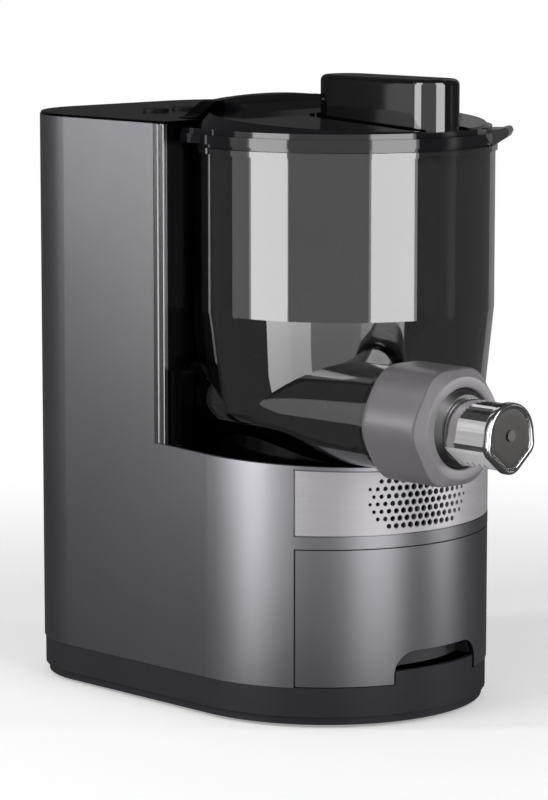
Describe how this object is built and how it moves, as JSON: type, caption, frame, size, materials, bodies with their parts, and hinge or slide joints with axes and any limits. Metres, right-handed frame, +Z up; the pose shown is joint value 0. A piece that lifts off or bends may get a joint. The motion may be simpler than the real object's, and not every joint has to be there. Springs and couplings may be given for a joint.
{
  "type": "electric pasta maker",
  "caption": "Upright kitchen pasta maker with a clear mixing cup and hinged lid, a side extruder barrel with a lobed lock nut and a long die, a vent plate and a drawer.",
  "frame": {"origin": "middle of the part's box seen from above, at the height of the table", "axes": "+Z up, -Y towards the die and the user, +X to the right seen from the front"},
  "size_m": [0.198, 0.3886, 0.3788],
  "materials": {
    "housing": "satin",
    "trim": "polished",
    "base": "satin",
    "feet": "matte",
    "steel_parts": "satin",
    "black_parts": "gloss",
    "window": "gloss",
    "buttons": "satin",
    "boards": "matte",
    "gland": "matte",
    "vent": "satin",
    "tray": "matte",
    "inner_plastic": "matte",
    "motor_steel": "satin",
    "rotor": "satin",
    "gears": "satin",
    "cup": "clear, smoky",
    "seals": "matte",
    "mixer_parts": "satin",
    "lid": "gloss, smoky",
    "handle": "gloss, smoky",
    "nut": "satin",
    "die_metal": "polished",
    "insert": "satin"
  },
  "bodies": {
    "machine": {"housing_shell": "housing", "edge_trims": "trim", "base_tray": "base", "rubber_feet": "feet", "base_screws": "steel_parts", "column_face": "black_parts", "cup_deck": "black_parts", "top_panel": "black_parts", "display_window": "window", "control_board": "boards", "power_board": "boards", "cord_gland": "gland", "vent_plate": "vent", "drawer_rails": "tray", "blower_case": "inner_plastic", "motor_can": "motor_steel", "gear_plate": "motor_steel", "plate_pillars": "steel_parts", "idler_pins": "steel_parts", "shaft_bearings": "steel_parts", "mixing_cup": "cup", "cup_seals": "seals", "hinge_brackets": "black_parts", "hinge_pin": "steel_parts", "die_body": "die_metal", "die_insert": "insert", "die_cap": "die_metal", "die_screw": "steel_parts"},
    "motor": {"motor_rotor": "rotor", "cooling_fan": "inner_plastic"},
    "blower": {"blower_wheel": "inner_plastic"},
    "first_idler": {"idler_first": "gears"},
    "second_idler": {"idler_second": "gears"},
    "screw_drive": {"screw_gear": "gears", "feed_screw": "mixer_parts"},
    "stirrer_drive": {"stirrer_gear": "gears", "stirrer": "mixer_parts"},
    "lid": {"lid": "lid", "lid_handle": "handle", "lid_seal": "seals"},
    "drawer": {"drawer_front": "housing", "drawer_tray": "tray"},
    "nut": {"lock_nut": "nut"},
    "start_button": {"button_start": "buttons"},
    "mode_button": {"button_mode": "buttons"},
    "plus_button": {"button_plus": "buttons"},
    "minus_button": {"button_minus": "buttons"}
  },
  "joints": [
    {"name": "motor_spin", "type": "hinge", "parent": "machine", "child": "motor", "pos_m": [0.03429, 0.13825, 0.15814], "axis": [0, -1, 0], "continuous": true},
    {"name": "second_idler_spin", "type": "hinge", "parent": "machine", "child": "second_idler", "pos_m": [0.00518, 0.07825, 0.13371], "axis": [0, -1, 0], "continuous": true},
    {"name": "first_idler_spin", "type": "hinge", "parent": "machine", "child": "first_idler", "pos_m": [-0.03153, 0.06825, 0.14355], "axis": [0, -1, 0], "continuous": true},
    {"name": "screw_spin", "type": "hinge", "parent": "machine", "child": "screw_drive", "pos_m": [-0.055, 0.04825, 0.18769], "axis": [0, -1, 0], "continuous": true},
    {"name": "stirrer_spin", "type": "hinge", "parent": "machine", "child": "stirrer_drive", "pos_m": [0.01708, 0.04825, 0.23274], "axis": [0, -1, 0], "continuous": true},
    {"name": "blower_spin", "type": "hinge", "parent": "machine", "child": "blower", "pos_m": [-0.016, -0.05775, 0.1315], "axis": [0, -1, 0], "continuous": true},
    {"name": "lid_hinge", "type": "hinge", "parent": "machine", "child": "lid", "pos_m": [0, 0.05825, 0.3591], "axis": [-1, 0, 0], "range_deg": [0, 80]},
    {"name": "drawer_slide", "type": "slide", "parent": "machine", "child": "drawer", "axis": [0, -1, 0], "range_m": [0, 0.09]},
    {"name": "nut_turn", "type": "hinge", "parent": "machine", "child": "nut", "pos_m": [-0.055, -0.11075, 0.18769], "axis": [0, -1, 0], "range_deg": [0, 45]},
    {"name": "start_button_press", "type": "slide", "parent": "machine", "child": "start_button", "axis": [0, 0, -1], "range_m": [0, 0.0012], "stiffness_N_per_m": 700, "springref_m": -0.0008},
    {"name": "mode_button_press", "type": "slide", "parent": "machine", "child": "mode_button", "axis": [0, 0, -1], "range_m": [0, 0.0012], "stiffness_N_per_m": 700, "springref_m": -0.0008},
    {"name": "plus_button_press", "type": "slide", "parent": "machine", "child": "plus_button", "axis": [0, 0, -1], "range_m": [0, 0.0012], "stiffness_N_per_m": 700, "springref_m": -0.0008},
    {"name": "minus_button_press", "type": "slide", "parent": "machine", "child": "minus_button", "axis": [0, 0, -1], "range_m": [0, 0.0012], "stiffness_N_per_m": 700, "springref_m": -0.0008}
  ],
  "couplings": [
    {"joint": "second_idler_spin", "follows": "motor_spin", "ratio": -0.26667},
    {"joint": "first_idler_spin", "follows": "motor_spin", "ratio": 0.071111},
    {"joint": "screw_spin", "follows": "motor_spin", "ratio": -0.033464},
    {"joint": "stirrer_spin", "follows": "motor_spin", "ratio": 0.022309}
  ]
}
